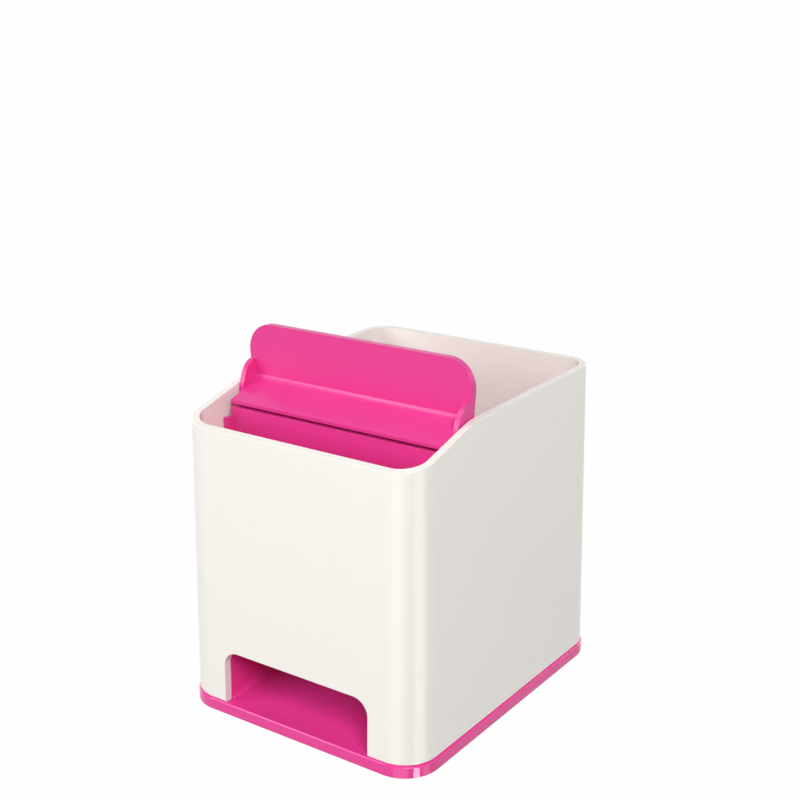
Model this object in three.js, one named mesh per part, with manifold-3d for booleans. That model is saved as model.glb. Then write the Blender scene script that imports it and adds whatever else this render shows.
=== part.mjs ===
// Pen holder with a device rest over a sound horn, in millimetres.
// X runs to the right, Y to the back and Z up. The origin is on the desk under the middle of the holder.
// A white sleeve stands on a base plate, with the well at the back. At the front a lift-out horn takes
// sound from its slotted ledge down to an outlet at the foot of the sleeve, and a rest with a sloping
// seat plugs into the top of the horn.
import * as THREE from 'three';
import { mergeVertices } from 'three/addons/utils/BufferGeometryUtils.js';
import Module from 'manifold-3d';

const wasm = await Module();
wasm.setup();

// Sizes that several pieces share. Heights are above the underside of the base plate.
const fit = 0.3;                  // gap between pieces that don't move
const liftFit = 0.35;             // gap round the pieces that lift out
const overrun = 5;                // how far a cut runs past the faces it opens
const sink = 0.5;                 // how far a rib or boss is rooted in the piece that carries it
const cornerSteps = 14;
const curveSteps = 28;
const filletSteps = 9;

// Base plate
const width = 85;
const depth = 102.6;
const cornerRadius = 11;
const plateHeight = 3.65;
const plateSkin = 1.8;
const skirtWall = 2.4;
const lowerChamfer = 0.25;
const upperChamfer = 0.3;
const plateRib = 1.4;
const plateRibSpacing = 17;
const plateRibRows = [-1.5, -0.5, 0.5, 1.5];
const plateRibRecess = 0.8;       // the ribs stop short of the plate's underside by this
const kerbHeight = 3.6;
const kerbWall = 1.5;

// Snap hooks between the plate's kerb and the shell
const hookWidth = 9;
const hookHeight = 1.6;
const hookReach = 0.7;
const hookRise = 1.2;
const hookSpacing = 46;

// Feet
const footRadius = 5.5;
const footSeatDepth = 1;
const footProud = 0.4;
const footChamfer = 0.3;
const footSeatWall = 1.5;
const footInset = 11.5;
const footSteps = 28;

// Shell
const shellStep = 0.4;            // the shell stands back from the plate's edge
const wallFoot = 2.6;
const wallTaper = 0.0054;         // the wall gets thinner going up
const sideDraft = 0.0119;         // the side walls lean inwards by 0.7 degrees
const endDraft = 0.0241;          // and the front and back walls by 1.4 degrees
const frontRim = 87.8;
const bendRim = 95.5;
const backRim = 96.6;
const frontFlat = 3.4;            // the rim stays level for this far behind the front
const rimRamp = 27.4;             // and climbs over this run on each side
const rimFootRadius = 6;
const rimBendRadius = 21;
const outletWidth = 52;
const outletHeight = 16.8;
const outletRadius = 4.9;

// Ramp behind the outlet, in a trough of the base plate
const rampRun = 28.5;
const rampRise = 18.6;
const ductFillet = 3.6;           // radius of the duct's corners beside its back wall
const ductFilletStart = 0.5;      // and at the outlet, where they begin
const ductBite = 0.04;            // how far their ends run into the walls

// Horn
const cheekWall = 2;
const hornWall = 2;
const ledgeTop = 72.2;
const ledgeThickness = 2.2;
const trayBack = 31.2;             // the ledge's tray ends this far in front of the middle
const deckTop = 88.65;
const deckThickness = 2;
const boxWall = 2;
const trayKerb = 4.5;
const railStep = 1.44;            // the rails stand out this far beside the tray's box
const railDepth = 2.4;
const railFront = 1.7;
const railDrop = 3.15;            // the rails end this far below the deck
const throatBulge = 22;
const soundSlotCount = 3;
const soundSlotLength = 14;
const soundSlotWidth = 7;
const soundSlotSpacing = 17;
const soundSlotRadius = 2.4;
const soundSlotPlace = 6.6;       // from the front edge of the ledge to the middle of the slots

// Divider wall, staked to the horn
const dividerThickness = 2;
const dividerSideFit = 0.2;
const stakeRadius = 1.3;
const stakeSeatRadius = 2.6;
const stakeSeatLength = 7;
const stakeLow = 30;
const stakeDrop = 7;
const stakeSteps = 16;

// Device rest, with its heights above the deck that it stands on
const panelRise = 22.95;
const panelThickness = 2.1;
const panelFront = 19.4;
const panelRadius = 8.1;
const flareRise = 6.85;           // above this the sides of the rest spread outwards
const flareReach = 1.25;          // by this much at the top
const wingThickness = 1.6;
const wingRise = 11.9;
const wingReach = 6.2;            // the wings stand out this far in front of the panel
const wingCrestShare = 0.7;
const wingCrestDrop = 0.4;
const seatFront = 31;
const lipRise = 1.95;
const seatLip = 0.95;
const seatRise = 4.2;
const seatThickness = 2;
const seatFillet = 1.2;
const legSpacing = 48;
const legSetback = 3.6;
const legThickness = 2;
const pegLength = 8;
const pegDepth = 5;

// The shell's outline at a height, moved inwards by an inset, as [side offset, end offset, height]
function shellAt(z, inset) {
  const rise = z - plateHeight;
  return [shellStep + inset + rise * sideDraft, shellStep + inset + rise * endDraft, z];
}

// The inner face of the shell's wall in the same way, for a clearance inside it
function liningAt(z, clearance) {
  return shellAt(z, wallFoot - (z - plateHeight) * wallTaper + clearance);
}

const rampStart = liningAt(plateHeight, 0)[1] - depth / 2;
const rampEnd = rampStart + rampRun;
const rampBack = rampEnd + hornWall;
const rampTop = plateHeight + rampRise;
const ductHalf = outletWidth / 2;
const cheekHalf = ductHalf + cheekWall;
const dividerFront = rampBack + fit;
const dividerBack = dividerFront + dividerThickness;
const liftSide = liningAt(backRim, liftFit)[0];
const liftEnd = liningAt(frontRim, liftFit)[1];
const hornFront = liftEnd - depth / 2;
const railHalf = width / 2 - liftSide;
const boxHalf = railHalf - railStep;
const dividerHalf = railHalf - dividerSideFit;
const ledgeBottom = ledgeTop - ledgeThickness;
const trayWallBack = -trayBack + hornWall;
const deckBottom = deckTop - deckThickness;
const railTop = deckTop - railDrop;
const panelTop = deckTop + panelRise;
const flareStart = deckTop + flareRise;
const wingTop = deckTop + wingRise;
const seatLipTop = deckTop + lipRise;
const hookBottom = plateHeight + hookRise;

const white = new THREE.MeshStandardMaterial({ color: 0xf7f4ec, roughness: 0.22, metalness: 0 });
const pink = new THREE.MeshStandardMaterial({ color: 0xe24293, roughness: 0.28, metalness: 0 });
const rubber = new THREE.MeshStandardMaterial({ color: 0x2b2b2d, roughness: 0.85, metalness: 0 });

// Solids

function solid(geometry) {
  geometry.deleteAttribute('normal');
  geometry.deleteAttribute('uv');
  const merged = mergeVertices(geometry);
  const body = new wasm.Mesh({
    numProp: 3,
    vertProperties: Float32Array.from(merged.attributes.position.array),
    triVerts: Uint32Array.from(merged.index.array),
  });
  return new wasm.Manifold(body);
}

function named(name, body, material) {
  const mesh = body.getMesh();
  const geometry = new THREE.BufferGeometry();
  geometry.setAttribute('position', new THREE.BufferAttribute(mesh.vertProperties, mesh.numProp));
  geometry.setIndex(new THREE.BufferAttribute(mesh.triVerts, 1));
  geometry.computeVertexNormals();
  const piece = new THREE.Mesh(geometry, material);
  piece.name = name;
  return piece;
}

function box(left, right, front, back, bottom, top) {
  const block = new THREE.BoxGeometry(right - left, back - front, top - bottom);
  return solid(block.translate((left + right) / 2, (front + back) / 2, (bottom + top) / 2));
}

// The same block on both sides of the middle plane, from near to far in X
function boxPair(near, far, front, back, bottom, top) {
  return box(near, far, front, back, bottom, top).add(box(-far, -near, front, back, bottom, top));
}

const extrusion = length => ({ depth: length, bevelEnabled: false, curveSegments: curveSteps });

// A side profile, drawn in Y and Z, run from left to right
function across(profile, left, right) {
  const shape = new THREE.ExtrudeGeometry(profile, extrusion(right - left));
  const turn = new THREE.Matrix4().makeBasis(
    new THREE.Vector3(0, 1, 0), new THREE.Vector3(0, 0, 1), new THREE.Vector3(1, 0, 0));
  return solid(shape.applyMatrix4(turn).translate(left, 0, 0));
}

function acrossPair(profile, near, far) {
  return across(profile, near, far).add(across(profile, -far, -near));
}

// A front profile, drawn in X and Z, run from front to back
function through(profile, front, back) {
  const shape = new THREE.ExtrudeGeometry(profile, extrusion(back - front));
  const turn = new THREE.Matrix4().makeBasis(
    new THREE.Vector3(1, 0, 0), new THREE.Vector3(0, 0, 1), new THREE.Vector3(0, -1, 0));
  return solid(shape.applyMatrix4(turn).translate(0, back, 0));
}

// A plan, drawn in X and Y, run upwards
function upright(plan, bottom, top) {
  const shape = new THREE.ExtrudeGeometry(plan, extrusion(top - bottom));
  return solid(shape.translate(0, 0, bottom));
}

// A pin along Y
function pin(radius, x, z, front, back) {
  const rod = new THREE.CylinderGeometry(radius, radius, back - front, stakeSteps);
  return solid(rod.translate(x, (front + back) / 2, z));
}

// A closed outline whose corners [x, y, radius] are rounded where they have a radius
function filleted(corners) {
  const points = [];
  corners.forEach(([x, y, radius], i) => {
    const here = new THREE.Vector2(x, y);
    if (!radius) {
      points.push(here);
      return;
    }
    const before = corners[(i + corners.length - 1) % corners.length];
    const after = corners[(i + 1) % corners.length];
    const a = new THREE.Vector2(before[0], before[1]).sub(here).normalize();
    const b = new THREE.Vector2(after[0], after[1]).sub(here).normalize();
    const half = Math.acos(THREE.MathUtils.clamp(a.dot(b), -1, 1)) / 2;
    const centre = a.clone().add(b).normalize().multiplyScalar(radius / Math.sin(half));
    const start = a.clone().multiplyScalar(radius / Math.tan(half)).sub(centre);
    const end = b.clone().multiplyScalar(radius / Math.tan(half)).sub(centre);
    const turn = Math.atan2(start.cross(end), start.dot(end));
    for (let k = 0; k <= filletSteps; k += 1) {
      const spoke = start.clone().rotateAround(new THREE.Vector2(), turn * k / filletSteps);
      points.push(spoke.add(centre).add(here));
    }
  });
  return new THREE.Shape(points);
}

// The plate's outline, a rectangle with round corners, moved inwards at its sides and ends, at a height
function outline([side, end, height]) {
  const points = [];
  const quarters = [[1, -1], [1, 1], [-1, 1], [-1, -1]];
  quarters.forEach(([sideX, sideY], quarter) => {
    for (let k = 0; k <= cornerSteps; k += 1) {
      const angle = (quarter - 1 + k / cornerSteps) * Math.PI / 2;
      const x = sideX * (width / 2 - cornerRadius) + (cornerRadius - side) * Math.cos(angle);
      const y = sideY * (depth / 2 - cornerRadius) + (cornerRadius - end) * Math.sin(angle);
      points.push([x, y, height]);
    }
  });
  return points;
}

// A solid between plan outlines, given as [side offset, end offset, height] from the bottom up
function stacked(levels) {
  return loft(levels.map(outline));
}

// A solid between rings of points that each turn to the left along the way from the first to the last
function loft(rings) {
  const count = rings[0].length;
  const index = [];
  for (let level = 0; level + 1 < rings.length; level += 1) {
    for (let k = 0; k < count; k += 1) {
      const low = level * count;
      const high = low + count;
      const next = (k + 1) % count;
      index.push(low + k, low + next, high + next, low + k, high + next, high + k);
    }
  }
  const last = (rings.length - 1) * count;
  for (let k = 1; k + 1 < count; k += 1) {
    index.push(0, k + 1, k, last, last + k, last + k + 1);
  }
  const geometry = new THREE.BufferGeometry();
  geometry.setAttribute('position', new THREE.Float32BufferAttribute(rings.flat(2), 3));
  geometry.setIndex(index);
  return solid(geometry);
}

// Snap hooks: where each stands on the outline, as a quarter turn and a place along that side
const [sideLining, endLining] = liningAt(hookBottom, 0);
const hookPlaces = [-1, 1].flatMap(side => [
  { turn: 0, along: side * hookSpacing / 2, reach: width / 2, lining: sideLining },
  { turn: 2, along: side * hookSpacing / 2, reach: width / 2, lining: sideLining },
  { turn: 1, along: side * hookSpacing / 4, reach: depth / 2, lining: endLining },
]);

// A block on a side of the outline, from an outer to an inner offset
function sideBlock(place, outer, inner, blockWidth, bottom, top) {
  const block = new THREE.BoxGeometry(inner - outer, blockWidth, top - bottom);
  block.translate(place.reach - (inner + outer) / 2, place.along, (bottom + top) / 2);
  return solid(block.rotateZ(place.turn * Math.PI / 2));
}

// Pieces

function makeShell() {
  const top = backRim + overrun;
  let shell = stacked([shellAt(plateHeight, 0), shellAt(top, 0)]);
  const low = plateHeight - overrun;
  const high = top + overrun;
  shell = shell.subtract(stacked([liningAt(low, 0), liningAt(high, 0)]));
  const foot = frontFlat - depth / 2;
  const above = filleted([
    [-depth, frontRim, 0], [foot, frontRim, rimFootRadius], [foot + rimRamp, bendRim, rimBendRadius],
    [depth / 2, backRim, 0], [depth, backRim, 0], [depth, high, 0], [-depth, high, 0],
  ]);
  shell = shell.subtract(across(above, -width, width));
  const outlet = filleted([
    [-ductHalf, plateHeight - overrun, 0], [ductHalf, plateHeight - overrun, 0],
    [ductHalf, plateHeight + outletHeight, outletRadius],
    [-ductHalf, plateHeight + outletHeight, outletRadius],
  ]);
  shell = shell.subtract(through(outlet, -depth, rampStart + overrun));
  for (const place of hookPlaces) {
    const slot = [hookWidth + 2 * fit, hookBottom - fit, hookBottom + hookHeight + fit];
    shell = shell.subtract(sideBlock(place, place.lining - hookReach - fit, place.lining + overrun, ...slot));
  }
  return named('outer_shell', shell, white);
}

// The duct's back wall, seen from the side: the ramp's face is a quarter of an ellipse, and above it
// the horn's face swings forward to the tray
const rampPath = new THREE.EllipseCurve(rampStart, rampTop, rampRun, rampRise, -Math.PI / 2, 0);
const throatPath = new THREE.CubicBezierCurve(
  new THREE.Vector2(rampEnd, rampTop), new THREE.Vector2(rampEnd, rampTop + throatBulge),
  new THREE.Vector2(-trayBack, ledgeBottom - throatBulge), new THREE.Vector2(-trayBack, ledgeBottom),
);

// A point at a share of a path, raised from it into the duct, or sunk behind it when negative
function besidePoint(path, share, height) {
  const along = path.getTangent(share);
  return path.getPoint(share).add(new THREE.Vector2(-along.y, along.x).multiplyScalar(height));
}

function beside(path, height) {
  return Array.from({ length: curveSteps + 1 }, (_, k) => besidePoint(path, k / curveSteps, height));
}

// The rounded corners between the duct's back wall and its cheeks, along a path and a little past its
// ends. Their radius grows from its start to the full one.
function ductCorners(path, startRadius) {
  const rings = [];
  for (let step = -1; step <= curveSteps + 1; step += 1) {
    const share = THREE.MathUtils.clamp(step / curveSteps, 0, 1);
    const past = Math.sign(step / curveSteps - share) * sink;
    const radius = startRadius + (ductFillet - startRadius) * Math.sqrt(share);
    const at = (x, height) => {
      const point = besidePoint(path, share, height).addScaledVector(path.getTangent(share), past);
      return [x, point.x, point.y];
    };
    const ring = [at(ductHalf + sink, -sink), at(ductHalf - radius, -sink)];
    for (let k = 0; k <= filletSteps; k += 1) {
      const angle = k / filletSteps * Math.PI / 2;
      const inner = ductHalf + ductBite - radius * (1 - Math.sin(angle));
      ring.push(at(inner, radius * (1 - Math.cos(angle)) - ductBite));
    }
    ring.push(at(ductHalf + sink, radius));
    rings.push(ring);
  }
  const corner = loft(rings);
  return corner.add(corner.mirror([1, 0, 0]));
}

function makePlate() {
  const even = (offset, height) => [offset, offset, height];
  let plate = stacked([
    even(lowerChamfer, 0), even(0, lowerChamfer),
    even(0, plateHeight - upperChamfer), even(upperChamfer, plateHeight),
  ]);
  const ceiling = plateHeight - plateSkin;
  plate = plate.subtract(stacked([even(skirtWall, -overrun), even(skirtWall, ceiling)]));
  for (const row of plateRibRows) {
    const y = row * plateRibSpacing;
    const x = row * plateRibSpacing;
    plate = plate.add(box(-width / 2 + skirtWall - sink, width / 2 - skirtWall + sink,
      y - plateRib / 2, y + plateRib / 2, plateRibRecess, ceiling + sink));
    plate = plate.add(box(x - plateRib / 2, x + plateRib / 2,
      -depth / 2 + skirtWall - sink, depth / 2 - skirtWall + sink, plateRibRecess, ceiling + sink));
  }
  for (const [x, y] of footPlaces) {
    plate = plate.add(upright(disc(x, y, footRadius + fit + footSeatWall), 0, ceiling + sink));
    plate = plate.subtract(upright(disc(x, y, footRadius + fit), -overrun, footSeatDepth));
  }
  return named('base_plate', plate.add(makeKerb()).add(makeTrough()).subtract(makeRampHollow()), pink);
}

function disc(x, y, radius) {
  const plan = new THREE.Shape();
  plan.absarc(x, y, radius, 0, 2 * Math.PI);
  return plan;
}

const footPlaces = [[-1, -1], [1, -1], [-1, 1], [1, 1]].map(([sideX, sideY]) => [
  sideX * (width / 2 - footInset), sideY * (depth / 2 - footInset),
]);

// The kerb stands inside the foot of the shell, open at the outlet and notched for the divider wall
function makeKerb() {
  const kerbTop = plateHeight + kerbHeight;
  const [side, end] = liningAt(kerbTop, fit);
  const root = plateHeight - sink;
  const low = root - overrun;
  const high = kerbTop + overrun;
  let kerb = stacked([[side, end, root], [side, end, kerbTop]]);
  const inner = [side + kerbWall, end + kerbWall];
  kerb = kerb.subtract(stacked([[...inner, low], [...inner, high]]));
  const gap = cheekHalf - sink;
  kerb = kerb.subtract(box(-gap, gap, -depth, 0, low, high));
  kerb = kerb.subtract(box(-width, width, dividerFront - fit, dividerBack + fit, low, high));
  for (const place of hookPlaces) {
    const block = [hookWidth, hookBottom, hookBottom + hookHeight];
    kerb = kerb.add(sideBlock(place, place.lining - hookReach, place.lining + fit + sink, ...block));
  }
  return kerb;
}

// The trough carries the ramp between two cheeks, close behind the outlet
function makeTrough() {
  const root = plateHeight - sink;
  const ramp = new THREE.Shape([
    ...beside(rampPath, 0), new THREE.Vector2(rampBack, rampTop), new THREE.Vector2(rampBack, root),
    new THREE.Vector2(rampStart, root),
  ]);
  let cheeks = boxPair(ductHalf, cheekHalf, rampStart, rampBack, root, rampTop);
  cheeks = cheeks.add(ductCorners(rampPath, ductFilletStart));
  cheeks = cheeks.intersect(stacked([liningAt(root, fit), liningAt(rampTop, fit)]));
  return cheeks.add(across(ramp, -ductHalf, ductHalf));
}

function makeRampHollow() {
  const under = beside(rampPath, -hornWall);
  const profile = new THREE.Shape([
    ...under, new THREE.Vector2(rampBack, -overrun), new THREE.Vector2(under[0].x, -overrun),
  ]);
  const side = ductHalf - hornWall;
  const bay = box(-width, width, -depth, rampEnd, -depth, rampTop - hornWall);
  return across(profile, -side, side).intersect(bay);
}

const stakePlaces = [-1, 1].flatMap(side => [
  [side * (boxHalf - boxWall - stakeRadius), deckBottom - stakeDrop],
  [side * (cheekHalf + stakeRadius), stakeLow],
]);

const legPlaces = [-legSpacing / 2, legSpacing / 2];
const legFront = -(seatFront - legSetback + panelFront) / 2 - pegDepth / 2;
const legBack = legFront + pegDepth;

function makeHorn() {
  const front = beside(throatPath, 0);
  const rear = beside(throatPath, -hornWall);
  const ledgeCorner = new THREE.Vector2(trayWallBack, ledgeBottom + sink);
  const low = rampTop - sink;
  const cheek = new THREE.Shape([
    new THREE.Vector2(hornFront, low), new THREE.Vector2(rampBack, low), ...rear, ledgeCorner,
    new THREE.Vector2(hornFront, ledgeBottom + sink),
  ]);
  const curved = new THREE.Shape([
    new THREE.Vector2(rampEnd, low), ...front, new THREE.Vector2(-trayBack, ledgeBottom + sink),
    ledgeCorner, ...rear.reverse(), new THREE.Vector2(rampBack, low),
  ]);
  let horn = acrossPair(cheek, ductHalf, cheekHalf);
  horn = horn.add(across(curved, -ductHalf - sink, ductHalf + sink)).add(ductCorners(throatPath, ductFillet));
  horn = horn.add(box(-boxHalf, boxHalf, hornFront, trayWallBack, ledgeBottom, ledgeTop));
  horn = horn.add(box(-boxHalf, boxHalf, -trayBack, trayWallBack, ledgeBottom, deckTop));
  horn = horn.add(box(-boxHalf, boxHalf, -trayBack, dividerBack, deckBottom, deckTop));
  horn = horn.add(boxPair(boxHalf - boxWall, boxHalf, -trayBack, rampBack, ledgeBottom, deckTop));
  horn = horn.add(boxPair(boxHalf - boxWall, boxHalf, hornFront, -trayBack, ledgeTop - sink,
    ledgeTop + trayKerb));
  const railStart = -trayBack - railFront;
  horn = horn.add(boxPair(boxHalf - sink, railHalf, railStart, railStart + railDepth,
    ledgeBottom, railTop));
  horn = horn.intersect(stacked([[liftSide, liftEnd, rampTop], [liftSide, liftEnd, deckTop + overrun]]));
  for (const [x, z] of stakePlaces) {
    horn = horn.add(pin(stakeSeatRadius, x, z, rampBack - stakeSeatLength, rampBack));
    horn = horn.add(pin(stakeRadius, x, z, rampBack - sink, dividerBack));
  }
  const slotMiddle = hornFront + soundSlotPlace;
  for (let k = 0; k < soundSlotCount; k += 1) {
    const x = (k - (soundSlotCount - 1) / 2) * soundSlotSpacing;
    const round = soundSlotWidth / 2;
    const plan = filleted([
      [x - soundSlotLength / 2, slotMiddle - round, soundSlotRadius],
      [x + soundSlotLength / 2, slotMiddle - round, soundSlotRadius],
      [x + soundSlotLength / 2, slotMiddle + round, soundSlotRadius],
      [x - soundSlotLength / 2, slotMiddle + round, soundSlotRadius],
    ]);
    horn = horn.subtract(upright(plan, ledgeBottom - sink, ledgeTop + overrun));
  }
  for (const x of legPlaces) {
    horn = horn.subtract(box(x - legThickness / 2 - fit, x + legThickness / 2 + fit,
      legFront - fit, legBack + fit, deckBottom - sink, deckTop + overrun));
  }
  return named('horn_body', horn, pink);
}

function makeDivider() {
  let divider = box(-dividerHalf, dividerHalf, dividerFront, dividerBack, plateHeight, deckBottom);
  for (const [x, z] of stakePlaces) {
    divider = divider.subtract(
      pin(stakeRadius + fit, x, z, dividerFront - overrun, dividerBack + overrun));
  }
  return named('divider_wall', divider, pink);
}

// The front view of the rest, which spreads towards the top, moved inwards by an inset
function restOutline(inset) {
  const half = railHalf - inset;
  const spread = half + flareReach;
  return filleted([
    [-half, deckTop, 0], [half, deckTop, 0], [half, flareStart, 0], [spread, panelTop, panelRadius],
    [-spread, panelTop, panelRadius], [-half, flareStart, 0],
  ]);
}

// The rest: an upright panel with a wing at each side, and a sloping seat with a thin lip
function makeRest() {
  const panelBack = panelThickness - panelFront;
  const wingEdge = -panelFront - wingReach;
  const wing = new THREE.Shape();
  wing.moveTo(panelBack, deckTop);
  wing.lineTo(panelBack, wingTop);
  wing.lineTo(-panelFront, wingTop);
  wing.bezierCurveTo(
    -panelFront - wingReach * wingCrestShare, wingTop - wingCrestDrop,
    wingEdge, wingTop - wingReach,
    wingEdge, seatLipTop + seatLip,
  );
  wing.lineTo(wingEdge, deckTop);
  const wings = across(wing, -width, width).intersect(through(restOutline(0), wingEdge, panelBack));
  const between = through(restOutline(wingThickness), wingEdge - overrun, sink - panelFront);
  let rest = through(restOutline(0), -panelFront, panelBack).add(wings.subtract(between));
  const lipBottom = seatLipTop - seatLip;
  const slope = seatRise / (seatFront - panelFront);
  const turnBack = (seatThickness - seatLip) / slope - seatFront;
  const seatBack = seatLipTop + seatRise;
  const seat = new THREE.Shape([
    new THREE.Vector2(-seatFront, lipBottom), new THREE.Vector2(turnBack, lipBottom),
    new THREE.Vector2(-panelFront, seatBack - seatThickness),
    new THREE.Vector2(sink - panelFront, seatBack - seatThickness),
    new THREE.Vector2(sink - panelFront, seatBack + seatFillet),
    new THREE.Vector2(-panelFront, seatBack + seatFillet),
    new THREE.Vector2(-panelFront - seatFillet, seatBack - slope * seatFillet),
    new THREE.Vector2(-seatFront, seatLipTop),
  ]);
  rest = rest.add(across(seat, -boxHalf, boxHalf));
  for (const x of legPlaces) {
    const legFoot = legSetback - seatFront;
    const leg = new THREE.Shape([
      new THREE.Vector2(legFoot, deckTop), new THREE.Vector2(sink - panelFront, deckTop),
      new THREE.Vector2(sink - panelFront, seatBack - sink),
      new THREE.Vector2(legFoot, seatLipTop + slope * legSetback - sink),
    ]);
    rest = rest.add(across(leg, x - legThickness / 2, x + legThickness / 2));
    rest = rest.add(box(x - legThickness / 2, x + legThickness / 2, legFront, legBack,
      deckTop - pegLength, deckTop + sink));
  }
  return named('device_rest', rest, pink);
}

function makeFoot(name, x, y) {
  const profile = [
    [0, -footProud], [footRadius - footChamfer, -footProud], [footRadius, footChamfer - footProud],
    [footRadius, footSeatDepth], [0, footSeatDepth],
  ].map(([radius, height]) => new THREE.Vector2(radius, height));
  const foot = new THREE.LatheGeometry(profile, footSteps);
  foot.rotateX(Math.PI / 2);
  return named(name, solid(foot.translate(x, y, 0)), rubber);
}

const holder = new THREE.Group();
holder.position.z = footProud;
holder.add(makeShell(), makePlate(), makeHorn(), makeDivider(), makeRest());
const footNames = ['foot_front_left', 'foot_front_right', 'foot_back_left', 'foot_back_right'];
footNames.forEach((name, k) => holder.add(makeFoot(name, ...footPlaces[k])));

const assembly = new THREE.Group();
assembly.add(holder);
export default assembly;
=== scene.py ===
# %% [markdown]
# # A pen holder with a device rest
# The holder is a white sleeve on a pink base plate. A pink horn lifts out of the sleeve, and a
# pink rest plugs into the horn. All of it is injection moulded and polished, so the lesson is about
# gloss plastic: smooth walls, narrow rounded edges that catch the light, and lamps that give them
# something to catch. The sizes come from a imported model, the frame. We load it first and build
# round it.

# %% Load the frame
import math

import bmesh
import bpy
from mathutils import Matrix, Vector


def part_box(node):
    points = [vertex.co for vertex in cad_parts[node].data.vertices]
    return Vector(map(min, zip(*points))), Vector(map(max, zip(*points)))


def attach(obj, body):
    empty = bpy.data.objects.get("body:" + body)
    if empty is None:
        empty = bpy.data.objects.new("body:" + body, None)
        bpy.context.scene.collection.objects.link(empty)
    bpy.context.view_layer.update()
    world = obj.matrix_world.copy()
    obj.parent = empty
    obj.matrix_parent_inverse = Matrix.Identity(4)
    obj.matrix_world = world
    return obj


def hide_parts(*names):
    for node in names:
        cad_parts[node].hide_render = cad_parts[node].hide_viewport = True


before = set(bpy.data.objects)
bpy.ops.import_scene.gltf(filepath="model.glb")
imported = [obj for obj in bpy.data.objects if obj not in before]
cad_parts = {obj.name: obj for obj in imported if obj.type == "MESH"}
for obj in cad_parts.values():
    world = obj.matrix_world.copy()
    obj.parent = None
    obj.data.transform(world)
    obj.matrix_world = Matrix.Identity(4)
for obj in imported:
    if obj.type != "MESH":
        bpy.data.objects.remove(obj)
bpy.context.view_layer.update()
MM = 0.001

# %% [markdown]
# The camera comes first. It stands in front of the right corner of the holder, a little above the
# rim. Its place was worked out from the straight edges of the plate and the sleeve, and the long lens
# makes the walls converge only a little.

# %% Camera
CAMERA_TURN = math.radians(35.26)
CAMERA_RISE = math.radians(17.29)
CAMERA_ROLL = math.radians(-0.26)
CAMERA_PLACE = Vector((226.49, -317.82, 210.94)) * MM
LENS = 62.02

backward = Vector((math.sin(CAMERA_TURN) * math.cos(CAMERA_RISE),
                   -math.cos(CAMERA_TURN) * math.cos(CAMERA_RISE), math.sin(CAMERA_RISE)))
level = Vector((math.cos(CAMERA_TURN), math.sin(CAMERA_TURN), 0))
upward = backward.cross(level)
right = level * math.cos(CAMERA_ROLL) + upward * math.sin(CAMERA_ROLL)
up = upward * math.cos(CAMERA_ROLL) - level * math.sin(CAMERA_ROLL)

camera_data = bpy.data.cameras.new("camera")
camera_data.lens = LENS
camera = bpy.data.objects.new("camera", camera_data)
camera_axes = Matrix((right, up, backward)).transposed().to_4x4()
camera.matrix_world = Matrix.Translation(CAMERA_PLACE) @ camera_axes
scene = bpy.context.scene
scene.collection.objects.link(camera)
scene.camera = camera
scene.view_settings.view_transform = "Standard"
print("camera:", round(math.degrees(camera_data.angle), 1), "degrees wide")

# %% [markdown]
# Materials and Geometry Nodes are both trees of nodes, and long chains of maths nodes are hard to read.
# So we wrap a socket in a small class whose operators add the maths node for us, and `1 - mask * 0.4`
# then builds two nodes. Every other kind of node comes from one method, `add`, that makes the
# settings first and then fills the sockets with values or links.

# %% Node maths as Python
class Signal:
    """The output of a node, which Python's operators can work on."""

    def __init__(self, nodes, socket):
        self.nodes, self.socket = nodes, socket

    def maths(self, operation, *values):
        return self.nodes.add("ShaderNodeMath", dict(enumerate(values)), operation=operation)

    def __add__(self, other): return self.maths("ADD", self, other)
    def __radd__(self, other): return self.maths("ADD", other, self)
    def __sub__(self, other): return self.maths("SUBTRACT", self, other)
    def __rsub__(self, other): return self.maths("SUBTRACT", other, self)
    def __mul__(self, other): return self.maths("MULTIPLY", self, other)
    def __truediv__(self, other): return self.maths("DIVIDE", self, other)
    def __gt__(self, other): return self.maths("GREATER_THAN", self, other)


class Nodes:
    """A node tree that is written down one call at a time."""

    def __init__(self, tree):
        self.tree = tree
        tree.nodes.clear()

    def add(self, kind, values=(), output=0, **settings):
        node = self.tree.nodes.new(kind)
        for name, value in settings.items():
            setattr(node, name, value)
        for key, value in dict(values).items():
            if isinstance(value, Signal):
                self.tree.links.new(value.socket, node.inputs[key])
            else:
                node.inputs[key].default_value = value
        return Signal(self, node.outputs[output]) if len(node.outputs) else None

    def blend(self, amount, first, second):
        """A mix of two colours, which a Mix node takes in its sockets 6 and 7 and gives in output 2."""
        return self.add("ShaderNodeMix", {0: amount, 6: first, 7: second}, output=2, data_type="RGBA")

    def parts(self, vector):
        node = self.add("ShaderNodeSeparateXYZ", {0: vector}).socket.node
        return [Signal(self, node.outputs[axis]) for axis in "XYZ"]

    def vector(self, x, y, z):
        return self.add("ShaderNodeCombineXYZ", {0: x, 1: y, 2: z})


def new_material(name):
    material = bpy.data.materials.new(name)
    material.use_nodes = True
    return material, Nodes(material.node_tree)


# %% [markdown]
# The studio is white. The world gives a soft level from all round, and the camera, glossy and
# transmission rays see it as plain white, so that the background is white and the plastic mirrors white.
# A real product studio is built the same way, as a tent of cloth round the object.

# %% World
WHITE = (1, 1, 1, 1)
WORLD_LEVEL = 0.1


def seen_directly(nodes):
    """One for the rays that show the background itself, and nothing for those that only light."""
    rays = nodes.add("ShaderNodeLightPath").socket.node
    camera_ray, glossy_ray, clear_ray = (
        Signal(nodes, rays.outputs[name])
        for name in ("Is Camera Ray", "Is Glossy Ray", "Is Transmission Ray"))
    either = camera_ray.maths("MAXIMUM", camera_ray, glossy_ray)
    return either.maths("MAXIMUM", either, clear_ray)


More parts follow.
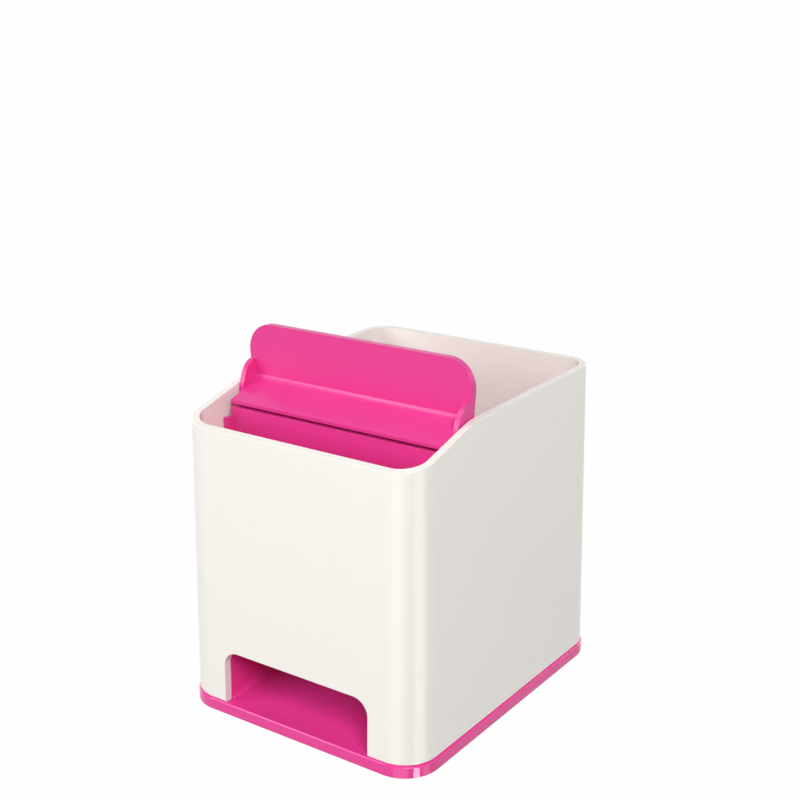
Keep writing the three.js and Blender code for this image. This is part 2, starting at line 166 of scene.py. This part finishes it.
world = bpy.data.worlds.new("studio")
scene.world = world
world.use_nodes = True
nodes = Nodes(world.node_tree)
soft = nodes.add("ShaderNodeBackground", {"Color": WHITE, "Strength": WORLD_LEVEL})
plain = nodes.add("ShaderNodeBackground", {"Color": WHITE, "Strength": 1.0})
nodes.add("ShaderNodeOutputWorld",
          {"Surface": nodes.add("ShaderNodeMixShader", {0: seen_directly(nodes), 1: soft, 2: plain})})
print("world:", WORLD_LEVEL, "as a light, 1.0 where it is seen")

# %% [markdown]
# Seven soft boxes shape the object, and none of them shows in the picture. The low box in front, a
# little to the left, gives the front wall its brightness and reaches through the outlet to the ramp.
# The corner box carries that brightness round the upright corner and makes the level rim as bright.
# The narrow edge box is there for its reflection: the rounded edge of the plate mirrors it as a thin
# line. The side box keeps the right side one step darker than the front, and that step is what makes
# the corner read as round, and the top box fills a little. The back and left boxes light the sides
# that this picture doesn't show, and stand so low that the rim mirrors neither of them.

# %% Lamps
LAMP_DISTANCE = 1.2
TARGET = Vector((0, 0, 0.05))


def soft_box(name, turn, rise, size, watts):
    """A lamp that faces the object, turned from the front to the right and raised, in degrees."""
    turn, rise = math.radians(turn), math.radians(rise)
    away = Vector((math.sin(turn) * math.cos(rise), -math.cos(turn) * math.cos(rise), math.sin(rise)))
    data = bpy.data.lights.new(name, "AREA")
    data.shape = "RECTANGLE"
    data.size, data.size_y = size
    data.energy = watts
    lamp = bpy.data.objects.new(name, data)
    place = Matrix.Translation(TARGET + away * LAMP_DISTANCE)
    lamp.matrix_world = place @ away.to_track_quat("Z", "Y").to_matrix().to_4x4()
    scene.collection.objects.link(lamp)
    print(name, [round(value, 2) for value in lamp.matrix_world.translation], watts, "W")


soft_box("low_box", -32, 16, (0.85, 0.35), 5.4)
soft_box("corner_box", 46, 38, (0.5, 0.6), 10.6)
soft_box("edge_box", -46, 40, (0.16, 0.6), 2.2)
soft_box("side_box", 112, 30, (0.6, 0.5), 1.0)
soft_box("top_box", 20, 80, (0.7, 0.7), 0.3)
soft_box("back_box", 165, 8, (0.7, 0.6), 5.2)
soft_box("left_box", 262, 8, (0.6, 0.6), 3.6)

# %% [markdown]
# The floor is a wide white sheet. Seen directly it glows nearly white, so that no horizon shows, and the
# rest of it stays matt, so the holder keeps a faint shadow where it stands.

# %% Floor
FLOOR_HALF = 40.0
FLOOR_GLOW = 0.99
FLOOR_GREY = (0.35, 0.35, 0.35, 1)

floor_mesh = bpy.data.meshes.new("floor")
signs = ((-1, -1), (1, -1), (1, 1), (-1, 1))
floor_mesh.from_pydata([(x * FLOOR_HALF, y * FLOOR_HALF, 0) for x, y in signs], [], [(0, 1, 2, 3)])
floor = bpy.data.objects.new("floor", floor_mesh)
scene.collection.objects.link(floor)
floor_white, nodes = new_material("floor_white")
floor_mesh.materials.append(floor_white)
matt = nodes.add("ShaderNodeBsdfDiffuse", {"Color": FLOOR_GREY})
glow = nodes.add("ShaderNodeEmission", {"Color": WHITE, "Strength": 1.0})
nodes.add("ShaderNodeOutputMaterial", {"Surface": nodes.add(
    "ShaderNodeMixShader", {0: seen_directly(nodes) * FLOOR_GLOW, 1: matt, 2: glow})})
print("floor:", 2 * FLOOR_HALF, "m wide")

# %% [markdown]
# Gloss shows best where a rounded corner mirrors something bright. Bright cards lie on the table, each
# a fan that starts at the front right corner of the holder. A ray from the camera that meets the corner
# turns away by twice the angle of the surface, so the two angles of a fan decide which part of the
# corner mirrors it. The far fans show in the sleeve and the near ones in the plate. Only glossy rays
# see the cards, and for all others they are clear.

# %% Bright cards
CARD_HEIGHT = 0.1 * MM
CORNER_CENTRE = Vector((31.5, -40.3, 0)) * MM
CORNER_REACH = 11 * MM
VIEW_TURN = math.radians(34.4)
FAR = (8 * MM, 350 * MM)
NEAR = (0.3 * MM, 6.5 * MM)
CARDS = {                         # the first and last angle in degrees, the reach and the strength
    "far_front_card": (-8, 24, FAR, 2.4),
    "far_right_card": (60, 98, FAR, 4.0),
    "near_front_card": (0, 44, NEAR, 3.5),
    "near_corner_card": (60, 79, NEAR, 19.0),
    "near_right_card": (88, 112, NEAR, 3.0),
}


def on_table(turn, distance):
    """The place that the corner mirrors in one direction, at a distance from the corner."""
    facing = (turn + VIEW_TURN) / 2
    start = CORNER_CENTRE + Vector((math.sin(facing), -math.cos(facing), 0)) * CORNER_REACH
    return start + Vector((math.sin(turn), -math.cos(turn), 0)) * distance + Vector((0, 0, CARD_HEIGHT))


for name, (first, last, (inner, outer), strength) in CARDS.items():
    first, last = math.radians(first), math.radians(last)
    card_mesh = bpy.data.meshes.new(name)
    card_mesh.from_pydata([on_table(first, inner), on_table(first, outer), on_table(last, outer),
                           on_table(last, inner)], [], [(0, 1, 2, 3)])
    card = bpy.data.objects.new(name, card_mesh)
    scene.collection.objects.link(card)
    card_glow, nodes = new_material(name)
    card_mesh.materials.append(card_glow)
    rays = nodes.add("ShaderNodeLightPath").socket.node
    clear = nodes.add("ShaderNodeBsdfTransparent", {"Color": WHITE})
    bright = nodes.add("ShaderNodeEmission", {"Color": WHITE, "Strength": strength})
    nodes.add("ShaderNodeOutputMaterial", {"Surface": nodes.add(
        "ShaderNodeMixShader", {0: Signal(nodes, rays.outputs["Is Glossy Ray"]), 1: clear, 2: bright})})
print("cards:", list(CARDS))

# %% [markdown]
# Polished plastic is never quite even. The steel of the mould leaves a very fine ripple, and the
# polish varies in soft clouds that lie where the melt flowed. We draw both with noise on Object
# coordinates: the clouds change the colour by a hair and the roughness by a little more, and the
# ripple is a bump. A new, clean piece shows no more than that, so there are no scratches.

# %% Gloss plastic
FLOW_STRETCH = (1.0, 1.0, 0.35)
CLOUD, RIPPLE, GRAIN = (45.0, 3.0), (380.0, 1.0), (2600.0, 2.0)
GRAIN_SHARE = 0.05
RIPPLE_STRENGTH = 0.05
RIPPLE_HEIGHT = 0.1 * MM
CLOUD_SHADE = 0.97
CLOUD_SHARE = 0.6
CLOUD_ROUGHNESS = 0.08


def noise(nodes, place, scale_and_detail):
    scale, detail = scale_and_detail
    return nodes.add("ShaderNodeTexNoise", {"Vector": place, "Scale": scale, "Detail": detail})


def gloss_plastic(name, colour, roughness, gloss):
    material, nodes = new_material(name)
    place = nodes.add("ShaderNodeTexCoord", output="Object")
    flow = nodes.add("ShaderNodeVectorMath", {0: place, 1: FLOW_STRETCH}, operation="MULTIPLY")
    cloud = noise(nodes, flow, CLOUD)
    height = noise(nodes, place, RIPPLE) + noise(nodes, place, GRAIN) * GRAIN_SHARE
    shade = tuple(CLOUD_SHADE * channel for channel in colour[:3]) + (1,)
    surface = nodes.add("ShaderNodeBsdfPrincipled", {
        "Base Color": nodes.blend(cloud * CLOUD_SHARE, colour, shade),
        "Roughness": roughness + (cloud - 0.5) * CLOUD_ROUGHNESS,
        "Specular IOR Level": gloss,
        "Normal": nodes.add("ShaderNodeBump", {
            "Height": height, "Strength": RIPPLE_STRENGTH, "Distance": RIPPLE_HEIGHT}),
    })
    nodes.add("ShaderNodeOutputMaterial", {"Surface": surface})
    return material


PINK = (0.77, 0.043, 0.285, 1)
shell_gloss = gloss_plastic("shell_gloss", (0.935, 0.905, 0.85, 1), 0.22, 0.42)
plate_gloss = gloss_plastic("plate_gloss", (0.86, 0.047, 0.32, 1), 0.2, 0.34)
insert_gloss = gloss_plastic("insert_gloss", PINK, 0.26, 0.34)
rest_gloss = gloss_plastic("rest_gloss", PINK, 0.24, 0.34)
print("plastics:", [material.name for material in (shell_gloss, plate_gloss, insert_gloss, rest_gloss)])

# %% [markdown]
# The feet are matt moulded rubber: nearly black, rough all over, with a fine pebbled grain and
# a paler bloom of dust in it.

# %% Foot rubber
RUBBER = (0.03, 0.03, 0.032, 1)
DUSTY_RUBBER = (0.07, 0.068, 0.066, 1)
DUST = (260.0, 4.0)
DUST_SHARE = 0.5
DUST_ROUGHNESS = 0.15
RUBBER_ROUGHNESS = 0.75
PEBBLE_SCALE = 2200.0
PEBBLE_STRENGTH = 0.3
PEBBLE_HEIGHT = 0.1 * MM

foot_rubber, nodes = new_material("foot_rubber")
place = nodes.add("ShaderNodeTexCoord", output="Object")
pebble = nodes.add("ShaderNodeTexVoronoi", {"Vector": place, "Scale": PEBBLE_SCALE})
dust = noise(nodes, place, DUST)
nodes.add("ShaderNodeOutputMaterial", {"Surface": nodes.add("ShaderNodeBsdfPrincipled", {
    "Base Color": nodes.blend(dust * DUST_SHARE, RUBBER, DUSTY_RUBBER),
    "Roughness": RUBBER_ROUGHNESS + dust * DUST_ROUGHNESS,
    "Normal": nodes.add("ShaderNodeBump", {
        "Height": pebble, "Strength": PEBBLE_STRENGTH, "Distance": PEBBLE_HEIGHT}),
})})
print("rubber:", foot_rubber.name)

# %% [markdown]
# The sleeve is the main piece, and its shape is a rule. A wall section goes once round a rectangle with
# round corners. Going up, the side walls lean in by 0.7 degrees and the front and back walls by
# 1.4, so that the moulding leaves its mould, and the wall gets thinner. The rim is low and level in
# front, climbs along both sides and ends nearly level at the back. A Geometry Nodes tree holds that rule,
# and its named inputs are the sizes.

# %% Sizes of the sleeve
shell_low, shell_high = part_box("outer_shell")
SHELL = {
    "Half Width": -shell_low[0],
    "Half Depth": -shell_low[1],
    "Corner Radius": 10.6 * MM,
    "Foot": shell_low[2],
    "Wall": 2.6 * MM,
    "Wall Taper": 0.0054,
    "Side Draft": 0.0119,
    "End Draft": 0.0241,
    "Front Rim": 88.2 * MM,
    "Climb Start": -47.9 * MM,
    "Climb Slope": 7.7 / 27.4,
    "Bend Rim": 95.9 * MM,
    "Bend Place": -20.5 * MM,
    "Back Slope": 1.1 / 71.8,
    "Rim Edge Outside": 0.7 * MM,
    "Rim Edge Inside": 0.4 * MM,
    "Foot Edge": 0.15 * MM,
}
print("sleeve:", {name: round(value, 5) for name, value in SHELL.items()})

# %% [markdown]
# The helpers below make a tree with named inputs, set them on a modifier by their sockets' identifiers,
# and turn the evaluated result into a plain mesh. A plain mesh is what every later tool expects.

# %% Geometry Nodes helpers
KINDS = {float: "NodeSocketFloat", bpy.types.Object: "NodeSocketObject",
         bpy.types.Material: "NodeSocketMaterial"}


def new_tree(name, values):
    tree = bpy.data.node_groups.new(name, "GeometryNodeTree")
    tree.interface.new_socket("Geometry", in_out="OUTPUT", socket_type="NodeSocketGeometry")
    for label, value in values.items():
        tree.interface.new_socket(label, in_out="INPUT", socket_type=KINDS[type(value)])
    nodes = Nodes(tree)
    given = nodes.add("NodeGroupInput").socket.node
    return tree, nodes, {label: Signal(nodes, given.outputs[label]) for label in values}


def dress(mesh, material):
    """Give all faces of a mesh the same single material."""
    mesh.materials.clear()
    mesh.materials.append(material)
    mesh.polygons.foreach_set("material_index", [0] * len(mesh.polygons))


def grown(name, tree, values):
    """The plain mesh object that a tree makes from its values."""
    piece = bpy.data.objects.new(name, bpy.data.meshes.new(name))
    scene.collection.objects.link(piece)
    modifier = piece.modifiers.new(name, "NODES")
    modifier.node_group = tree
    for socket in tree.interface.items_tree:
        if socket.in_out == "INPUT":
            modifier[socket.identifier] = values[socket.name]
    evaluated = piece.evaluated_get(bpy.context.evaluated_depsgraph_get())
    mesh = bpy.data.meshes.new_from_object(evaluated)
    piece.modifiers.remove(modifier)
    piece.data = mesh
    mesh.name = name
    dress(mesh, values["Material"])
    return piece


# %% [markdown]
# First the tree draws the two curves: the outline that the wall follows, and the wall's section, with a
# wide rounding outside the rim, a narrow one inside it and a hair of one at the foot. The section is
# short, because only its corners matter, and the rule pulls its two ends apart afterwards.

# %% Tree of the sleeve: its curves
SECTION_HEIGHT = 10 * MM
OUTLINE_STEP = 0.9 * MM
EDGE_STEPS = 5
CORNER_STEPS = 48

shell_values = dict(SHELL, Material=shell_gloss)
shell_tree, nodes, given = new_tree("sleeve", shell_values)
outline = nodes.add("GeometryNodeCurvePrimitiveQuadrilateral",
                    {"Width": given["Half Width"] * 2, "Height": given["Half Depth"] * 2})
outline = nodes.add("GeometryNodeFilletCurve", {"Curve": outline, "Radius": given["Corner Radius"],
                                                "Count": CORNER_STEPS}, mode="POLY")
outline = nodes.add("GeometryNodeResampleCurve", {"Curve": outline, "Length": OUTLINE_STEP},
                    mode="LENGTH")
section = nodes.add("GeometryNodeCurvePrimitiveQuadrilateral",
                    {"Width": given["Wall"], "Height": SECTION_HEIGHT})
across, height, _ = nodes.parts(nodes.add("GeometryNodeInputPosition"))
outside = across > 0
above = height > 0
edge = above * (outside * given["Rim Edge Outside"] + (1 - outside) * given["Rim Edge Inside"])
edge = edge + (1 - above) * outside * given["Foot Edge"]
section = nodes.add("GeometryNodeFilletCurve", {"Curve": section, "Radius": edge, "Count": EDGE_STEPS},
                    mode="POLY")
section = nodes.add("GeometryNodeTransform", {"Geometry": section, "Translation": nodes.vector(
    given["Wall"] * -0.5, 0.0, 0.0)})
wall = nodes.add("GeometryNodeCurveToMesh", {"Curve": outline, "Profile Curve": section})

# %% [markdown]
# Then every point moves. The nearest point of the inner rectangle gives its direction outwards, and
# how far it lies inside the outline. Points of the section's lower half stay at the foot, and those of
# the upper half rise to the rim. Two straight lines meet with a smooth maximum where the rim starts to
# climb and with a smooth minimum where it bends, which is the same as a fillet in a drawing. By the time
# a point of the front or back wall gets to the rim, the draft has moved it inwards. The rim's height
# depends on where it ends up, so the rule works that place out first, from a rough height of the rim.

# %% Tree of the sleeve: its rule
FOOT_SOFTNESS = 0.34 * MM
BEND_SOFTNESS = 1.06 * MM
RIM_GUESS = 88 * MM

x, y, z = nodes.parts(nodes.add("GeometryNodeInputPosition"))
inner_x = given["Half Width"] - given["Corner Radius"]
inner_y = given["Half Depth"] - given["Corner Radius"]
core_x = x.maths("MAXIMUM", x.maths("MINIMUM", x, inner_x), 0 - inner_x)
core_y = y.maths("MAXIMUM", y.maths("MINIMUM", y, inner_y), 0 - inner_y)
out_x, out_y = x - core_x, y - core_y
reach = x.maths("SQRT", out_x * out_x + out_y * out_y)
out_x, out_y = out_x / reach, out_y / reach
along = y - out_y * given["End Draft"] * RIM_GUESS
climb = given["Front Rim"] + (along - given["Climb Start"]) * given["Climb Slope"]
back = given["Bend Rim"] + (along - given["Bend Place"]) * given["Back Slope"]
rim = y.maths("SMOOTH_MAX", given["Front Rim"], climb, FOOT_SOFTNESS)
rim = y.maths("SMOOTH_MIN", rim, back, BEND_SOFTNESS)
upper = z > 0
rise = (1 - upper) * (z + SECTION_HEIGHT / 2) + upper * (rim - given["Foot"] + z - SECTION_HEIGHT / 2)
inset = (given["Corner Radius"] - reach) * (1 - rise * given["Wall Taper"] / given["Wall"])
radius = given["Corner Radius"] - inset
moved = nodes.vector(core_x + out_x * (radius - rise * given["Side Draft"]),
                     core_y + out_y * (radius - rise * given["End Draft"]), given["Foot"] + rise)
wall = nodes.add("GeometryNodeSetPosition", {"Geometry": wall, "Position": moved})
wall = nodes.add("GeometryNodeRealizeInstances", {"Geometry": wall})
wall = nodes.add("GeometryNodeSetMaterial", {"Geometry": wall, "Material": given["Material"]})
nodes.add("NodeGroupOutput", {"Geometry": wall})
shell = grown("shell_piece", shell_tree, shell_values)
top = max(vertex.co.z for vertex in shell.data.vertices)
print("sleeve:", len(shell.data.polygons), "faces, top", round(top / MM, 2),
      "of", round(shell_high[2] / MM, 2), "mm")

# %% [markdown]
# The outlet is cut through the front wall, with a hair of rounding on its outer edge. A cutter that
# widens towards the front gives that rounding at once: its rings follow a quarter circle, and each ring
# leans with the wall, so the edge is as wide at the top as at the foot.

# %% Cut the outlet
OUTLET_HALF = 26 * MM
OUTLET_TOP = shell_low[2] + 16.8 * MM
OUTLET_RADIUS = 4.9 * MM
OUTLET_EDGE = 0.3 * MM
EDGE_RINGS = (12, 38, 64, 90)
CUT_PAST = 5 * MM
ARC_STEPS = 14


def outlet_ring(grow, behind):
    """The outlet's outline, grown on all sides and set some way behind the leaning front wall."""
    half, top = OUTLET_HALF - OUTLET_RADIUS, OUTLET_TOP - OUTLET_RADIUS
    radius = OUTLET_RADIUS + grow
    foot = shell_low[2] - CUT_PAST
    plan = [(-OUTLET_HALF - grow, foot), (OUTLET_HALF + grow, foot)]
    for side, start in ((1, 0.0), (-1, math.pi / 2)):
        for step in range(ARC_STEPS + 1):
            angle = start + step / ARC_STEPS * math.pi / 2
            plan.append((side * half + radius * math.cos(angle), top + radius * math.sin(angle)))
    lean = SHELL["End Draft"]
    return [(px, shell_low[1] + (pz - shell_low[2]) * lean + behind, pz) for px, pz in plan]


def as_object(name, work):
    """Put a mesh in the making into the scene as an object, and end the work on it."""
    mesh = bpy.data.meshes.new(name)
    work.to_mesh(mesh)
    work.free()
    solid = bpy.data.objects.new(name, mesh)
    scene.collection.objects.link(solid)
    return solid


def lofted(name, rings):
    """A closed solid between rings of as many points each, from the first to the last."""
    work = bmesh.new()
    loops = [[work.verts.new(point) for point in ring] for ring in rings]
    for low, high in zip(loops, loops[1:]):
        for k in range(len(low)):
            after = (k + 1) % len(low)
            work.faces.new((low[k], low[after], high[after], high[k]))
    work.faces.new(loops[0][::-1])
    work.faces.new(loops[-1])
    bmesh.ops.recalc_face_normals(work, faces=work.faces)
    return as_object(name, work)


def cut(piece, cutter):
    """Take one solid out of another, and remove it."""
    material = piece.data.materials[0]
    modifier = piece.modifiers.new("cut", "BOOLEAN")
    modifier.object = cutter
    modifier.operation = "DIFFERENCE"
    modifier.solver = "EXACT"
    evaluated = piece.evaluated_get(bpy.context.evaluated_depsgraph_get())
    mesh = bpy.data.meshes.new_from_object(evaluated)
    piece.modifiers.remove(modifier)
    piece.data = mesh
    dress(mesh, material)
    bpy.data.objects.remove(cutter)


rings = [outlet_ring(OUTLET_EDGE, -CUT_PAST)]
for degrees in EDGE_RINGS:
    angle = math.radians(degrees)
    rings.append(outlet_ring(OUTLET_EDGE * (1 - math.sin(angle)), OUTLET_EDGE * (1 - math.cos(angle))))
rings.append(outlet_ring(0, 2 * CUT_PAST))
cut(shell, lofted("outlet_cutter", rings))
print("outlet cut:", len(shell.data.polygons), "faces")

# %% [markdown]
# Six shallow pockets in the foot of the wall take the snap hooks of the plate. They repeat, so Geometry
# Nodes place them: a short line of points along a wall, a block on each point, and all of it turned
# towards that wall. One tree with named inputs then serves the two sides and the back.

# %% Cut the pockets of the snap hooks
BLOCK_REACH = 2 * MM
POCKET = {"Pocket Width": 9.6 * MM, "Pocket Height": 2.2 * MM, "Pocket Depth": 1.0 * MM,
          "Pocket Floor": 4.95 * MM, "Material": shell_gloss}
POCKET_WALLS = {                  # the turn in degrees, the wall's distance and the spacing in mm
    "right": (0.0, 39.49, 46), "back": (90.0, 48.28, 23), "left": (180.0, 39.49, 46),
}

pocket_values = dict(POCKET, **{"Turn": 0.0, "Wall Distance": 0.0, "Spacing": 0.0})
pocket_tree, nodes, given = new_tree("hook_pockets", pocket_values)
block = nodes.add("GeometryNodeMeshCube", {"Size": nodes.vector(
    given["Pocket Depth"] + BLOCK_REACH, given["Pocket Width"], given["Pocket Height"])})
first = nodes.vector(given["Wall Distance"] + (given["Pocket Depth"] - BLOCK_REACH) / 2,
                     given["Spacing"] / -2, given["Pocket Floor"] + given["Pocket Height"] / 2)
step = nodes.vector(0.0, given["Spacing"], 0.0)
places = nodes.add("GeometryNodeMeshLine", {"Count": 2, "Start Location": first, "Offset": step},
                   mode="OFFSET")
blocks = nodes.add("GeometryNodeInstanceOnPoints", {"Points": places, "Instance": block})
blocks = nodes.add("GeometryNodeRealizeInstances", {"Geometry": blocks})
rotation = nodes.add("FunctionNodeEulerToRotation", {"Euler": nodes.vector(0.0, 0.0, given["Turn"])})
blocks = nodes.add("GeometryNodeTransform", {"Geometry": blocks, "Rotation": rotation})
blocks = nodes.add("GeometryNodeSetMaterial", {"Geometry": blocks, "Material": given["Material"]})
nodes.add("NodeGroupOutput", {"Geometry": blocks})
for wall_name, (turn, distance, spacing) in POCKET_WALLS.items():
    pocket_values.update({"Turn": math.radians(turn), "Wall Distance": distance * MM,
                          "Spacing": spacing * MM})
    cut(shell, grown("pockets_" + wall_name, pocket_tree, pocket_values))
print("pockets cut:", len(shell.data.polygons), "faces")

# %% [markdown]
# A surface looks polished only if its shading is even. We shade the sleeve smooth, keep the
# edges that turn more than the limit sharp, and let the large faces decide the normals at their
# corners, so that the flat walls stay flat right up to their roundings.

# %% Finish of a piece
SHARP = math.radians(50)
FLAT_FACES_FIRST = 100


def polish(piece, body, slot, *replaced):
    piece.data.shade_smooth()
    piece.data.set_sharp_from_angle(angle=SHARP)
    normals = piece.modifiers.new("normals", "WEIGHTED_NORMAL")
    normals.keep_sharp = True
    normals.weight = FLAT_FACES_FIRST
    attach(piece, body)
    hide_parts(*replaced)
    print(piece.name, "on", body, len(piece.data.polygons), "faces")


polish(shell, "holder", "shell_gloss", "outer_shell")

# %% [markdown]
# The plate, the horn, its divider wall and the rest already have their true shape in the frame. We copy
# each one, weld its loose triangles, join those that lie in one plane and round its sharp edges with a
# Bevel, because an edge without a radius catches no light and gives a moulding away as a drawing. How
# much of the rounding an edge gets is its bevel weight, which a small function gives from the edge's
# two ends.

# %% Helper for the pieces from the frame
WELD = 0.002 * MM
SAME_PLANE = math.radians(0.05)
ROUND_OVER = math.radians(35)


def welded(node, material, edge=0.0, segments=2, share=None):
    """A copy of a CAD node, welded, with its flat faces joined and its sharp edges rounded."""
    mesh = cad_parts[node].data.copy()
    mesh.materials.clear()
    mesh.materials.append(material)
    work = bmesh.new()
    work.from_mesh(mesh)
    bmesh.ops.remove_doubles(work, verts=work.verts, dist=WELD)
    bmesh.ops.dissolve_limit(work, angle_limit=SAME_PLANE, verts=work.verts, edges=work.edges)
    if share:
        weight = work.edges.layers.float.new("bevel_weight_edge")
        for border in work.edges:
            border[weight] = share(*(vertex.co for vertex in border.verts))
    work.to_mesh(mesh)
    work.free()
    piece = bpy.data.objects.new(node + "_piece", mesh)
    scene.collection.objects.link(piece)
    if edge:
        bevel = piece.modifiers.new("edges", "BEVEL")
        bevel.width = edge
        bevel.segments = segments
        bevel.limit_method = "WEIGHT" if share else "ANGLE"
        bevel.angle_limit = ROUND_OVER
    return piece


# %% [markdown]
# On the plate only two kinds of edges show. The chamfer along its upper edge has two borders, and both
# get a part of the rounding, so that together they make one soft edge of half a millimetre. It draws
# the thin bright line along the foot of the holder. The front edges of the two cheeks, just behind the
# outlet, get the whole rounding. The ramp between them stays as it is, because it already runs out flat
# into the plate.

# %% Base plate
PLATE_RADIUS = 11 * MM
PLATE_TOP = 4.05 * MM
PLATE_CHAMFER = 0.3 * MM
CHEEK_INSIDE = 26 * MM
CHEEK_FRONT = -47.6 * MM
CLOSE = 0.02 * MM
PLATE_EDGE = 0.35 * MM
PLATE_EDGE_STEPS = 3
CHAMFER_SHARE = 0.57
plate_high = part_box("base_plate")[1]


def depth_in_plate(point):
    """How far a point lies inside the plate's outline, seen from above."""
    beyond = [max(abs(point[axis]) - plate_high[axis] + PLATE_RADIUS, 0) for axis in (0, 1)]
    return PLATE_RADIUS - math.hypot(*beyond)


def plate_share(first, second):
    """The share of the rounding that an edge of the plate gets, by its two ends."""
    ends = (first, second)

    def border(depth, height):
        return all(abs(depth_in_plate(end) - depth) < CLOSE and abs(end.z - height) < CLOSE
                   for end in ends)

    if border(0, PLATE_TOP - PLATE_CHAMFER) or border(PLATE_CHAMFER, PLATE_TOP):
        return CHAMFER_SHARE
    on_cheek = all(abs(abs(end.x) - CHEEK_INSIDE) < CLOSE and end.y < CHEEK_FRONT for end in ends)
    return 1.0 if on_cheek and abs(first.z - second.z) > PLATE_TOP else 0.0


plate = welded("base_plate", plate_gloss, PLATE_EDGE, PLATE_EDGE_STEPS, plate_share)
weights = [item.value for item in plate.data.attributes["bevel_weight_edge"].data]
rounded = sum(value > 0 for value in weights)
print("plate:", rounded, "rounded edges,", weights.count(1.0), "on the cheeks")
polish(plate, "holder", "plate_gloss", "base_plate")

# %% [markdown]
# The horn and its divider wall lift out together. The rest is a piece of its own, thicker and with
# softer edges, because a hand and the back of a device rub on them.

# %% Insert and rest
INSERT_EDGE = 0.2 * MM
REST_EDGE = 0.35 * MM
REST_EDGE_STEPS = 3

polish(welded("horn_body", insert_gloss, INSERT_EDGE), "insert", "insert_gloss", "horn_body")
polish(welded("divider_wall", insert_gloss, INSERT_EDGE), "insert", "insert_gloss", "divider_wall")
polish(welded("device_rest", rest_gloss, REST_EDGE, REST_EDGE_STEPS), "rest", "rest_gloss", "device_rest")

# %% [markdown]
# The holder stands on four rubber feet. A foot is a turned shape: we draw half of its section as
# radius and height in millimetres, with two shallow rings in the tread that keep it from slipping, and
# turn it round its own axis. We set the points and faces ourselves, so that they have the same order in
# every run, which Blender's own spin doesn't promise.

# %% Profile of a foot
FOOT_PROFILE = [
    (0.0, 0.3), (0.9, 0.3), (1.15, 0.22), (1.25, 0.0),
    (2.3, 0.0), (2.4, 0.2), (2.8, 0.2), (2.9, 0.0),
    (3.7, 0.0), (3.8, 0.2), (4.2, 0.2), (4.3, 0.0),
    (5.15, 0.0), (5.32, 0.05), (5.45, 0.16), (5.5, 0.32), (5.5, 1.4), (0.0, 1.4),
]
FOOT_STEPS = 48


def lathed(name, profile, steps):
    """A closed solid turned round Z, from a profile in millimetres that starts and ends on the axis."""
    work = bmesh.new()
    turns = [2 * math.pi * step / steps for step in range(steps)]
    bottom, top = (work.verts.new((0, 0, profile[end][1] * MM)) for end in (0, -1))
    rings = [[work.verts.new((radius * MM * math.cos(turn), radius * MM * math.sin(turn), height * MM))
              for turn in turns] for radius, height in profile[1:-1]]
    for k in range(steps):
        after = (k + 1) % steps
        work.faces.new((bottom, rings[0][after], rings[0][k]))
        for low, high in zip(rings, rings[1:]):
            work.faces.new((low[k], low[after], high[after], high[k]))
        work.faces.new((top, rings[-1][k], rings[-1][after]))
    return as_object(name, work)


foot = lathed("foot", FOOT_PROFILE, FOOT_STEPS)
print("foot:", len(foot.data.polygons), "faces")

# %% [markdown]
# Geometry Nodes then set the same foot on the four points of a small grid, which is how anything that
# repeats is best made. The foot itself isn't needed afterwards.

# %% Four feet on a grid
FEET = ("foot_front_left", "foot_front_right", "foot_back_left", "foot_back_right")
FEET_SPACING = (62 * MM, 79.6 * MM)

feet_values = {"Foot": foot, "Spacing X": FEET_SPACING[0], "Spacing Y": FEET_SPACING[1],
               "Material": foot_rubber}
feet_tree, nodes, given = new_tree("rubber_feet", feet_values)
turned = nodes.add("GeometryNodeObjectInfo", {"Object": given["Foot"]}, output="Geometry")
places = nodes.add("GeometryNodeMeshGrid", {"Size X": given["Spacing X"], "Size Y": given["Spacing Y"],
                                            "Vertices X": 2, "Vertices Y": 2})
four = nodes.add("GeometryNodeInstanceOnPoints", {"Points": places, "Instance": turned})
four = nodes.add("GeometryNodeRealizeInstances", {"Geometry": four})
four = nodes.add("GeometryNodeSetMaterial", {"Geometry": four, "Material": given["Material"]})
nodes.add("NodeGroupOutput", {"Geometry": four})
feet = grown("rubber_feet", feet_tree, feet_values)
bpy.data.objects.remove(foot)
polish(feet, "holder", "foot_rubber", *FEET)
